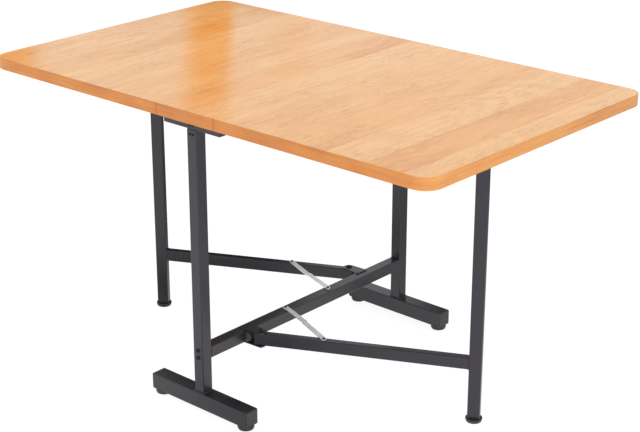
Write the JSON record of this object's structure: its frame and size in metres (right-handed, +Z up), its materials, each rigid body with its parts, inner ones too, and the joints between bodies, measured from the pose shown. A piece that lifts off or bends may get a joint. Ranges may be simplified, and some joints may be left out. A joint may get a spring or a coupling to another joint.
{
  "type": "extending dining table",
  "caption": "Gate-leg dining table: a fixed centre board with two drop leaves, a dark square-tube frame, swinging gate legs and folding steel stays.",
  "frame": {"origin": "middle of the table at floor level", "axes": "+X along the length of the opened top, +Y across its width, +Z up"},
  "size_m": [1.36, 0.8, 0.75],
  "materials": {
    "laminated_board": "satin",
    "edge_band": "satin",
    "dark_frame_paint": "satin",
    "zinc_plated_steel": "satin",
    "black_plastic": "matte",
    "black_steel": "satin"
  },
  "bodies": {
    "frame": {"centre_panel": "laminated_board", "centre_edge_bands": "edge_band", "leaf_right": "laminated_board", "leaf_right_edge_band": "edge_band", "leaf_left": "laminated_board", "leaf_left_edge_band": "edge_band", "leaf_hinge_centre_plates": "zinc_plated_steel", "leaf_hinge_leaf_plates": "zinc_plated_steel", "leaf_hinge_pins": "zinc_plated_steel", "leaf_hinge_screws": "zinc_plated_steel", "post_near": "dark_frame_paint", "post_far": "dark_frame_paint", "foot_bar_near": "dark_frame_paint", "foot_bar_far": "dark_frame_paint", "foot_end_caps": "black_plastic", "foot_glides": "black_plastic", "top_bar_near": "dark_frame_paint", "top_bar_far": "dark_frame_paint", "top_bar_end_caps": "black_plastic", "top_bar_screws": "black_steel", "post_connectors": "black_plastic", "connector_screws": "black_steel", "stretcher_beam": "dark_frame_paint", "beam_end_blocks": "zinc_plated_steel", "beam_screws": "black_steel", "gate_bracket_right": "dark_frame_paint", "gate_bracket_left": "dark_frame_paint", "gate_buffers": "black_plastic", "gate_pivot_bolts": "black_steel", "gate_pivot_washers": "black_steel", "gate_pivot_nuts": "black_steel", "stay_beam_screws": "black_steel", "stay_spacer_right": "zinc_plated_steel", "stay_spacer_left": "zinc_plated_steel"},
    "gate_right": {"gate_arm_right": "dark_frame_paint", "gate_arm_plug_right": "black_plastic", "gate_leg_right": "dark_frame_paint", "gate_leg_cap_right": "black_plastic", "gate_leg_glide_right": "black_plastic", "gate_bush_right": "zinc_plated_steel", "stay_arm_screw_right": "black_steel"},
    "gate_left": {"gate_arm_left": "dark_frame_paint", "gate_arm_plug_left": "black_plastic", "gate_leg_left": "dark_frame_paint", "gate_leg_cap_left": "black_plastic", "gate_leg_glide_left": "black_plastic", "gate_bush_left": "zinc_plated_steel", "stay_arm_screw_left": "black_steel"},
    "stay_beam_link_right": {"stay_beam_link_right": "zinc_plated_steel", "stay_rivet_right": "zinc_plated_steel"},
    "stay_arm_link_right": {"stay_arm_link_right": "zinc_plated_steel", "stay_rivet_tail_right": "zinc_plated_steel"},
    "stay_beam_link_left": {"stay_beam_link_left": "zinc_plated_steel", "stay_rivet_left": "zinc_plated_steel"},
    "stay_arm_link_left": {"stay_arm_link_left": "zinc_plated_steel", "stay_rivet_tail_left": "zinc_plated_steel"}
  },
  "joints": [
    {"name": "gate_right_swing", "type": "hinge", "parent": "frame", "child": "gate_right", "pos_m": [0.049, -0.219, 0.15], "axis": [0, 0, 1], "range_deg": [0, 63.2]},
    {"name": "stay_beam_link_right_turn", "type": "hinge", "parent": "frame", "child": "stay_beam_link_right", "pos_m": [0, -0.079, 0.1688], "axis": [0, 0, 1], "range_deg": [-38.62, 0]},
    {"name": "stay_arm_link_right_turn", "type": "hinge", "parent": "gate_right", "child": "stay_arm_link_right", "pos_m": [0.1878, -0.14889, 0.1664], "axis": [0, 0, 1], "range_deg": [0, 51.35]},
    {"name": "gate_left_swing", "type": "hinge", "parent": "frame", "child": "gate_left", "pos_m": [-0.049, 0.219, 0.15], "axis": [0, 0, 1], "range_deg": [0, 63.2]},
    {"name": "stay_beam_link_left_turn", "type": "hinge", "parent": "frame", "child": "stay_beam_link_left", "pos_m": [0, 0.079, 0.1688], "axis": [0, 0, 1], "range_deg": [-38.62, 0]},
    {"name": "stay_arm_link_left_turn", "type": "hinge", "parent": "gate_left", "child": "stay_arm_link_left", "pos_m": [-0.1878, 0.14889, 0.1664], "axis": [0, 0, 1], "range_deg": [0, 51.35]}
  ],
  "couplings": [
    {"joint": "stay_beam_link_right_turn", "follows": "gate_right_swing", "ratio": -0.61087},
    {"joint": "stay_arm_link_right_turn", "follows": "gate_right_swing", "ratio": 0.81233},
    {"joint": "stay_beam_link_left_turn", "follows": "gate_left_swing", "ratio": -0.61087},
    {"joint": "stay_arm_link_left_turn", "follows": "gate_left_swing", "ratio": 0.81233}
  ]
}
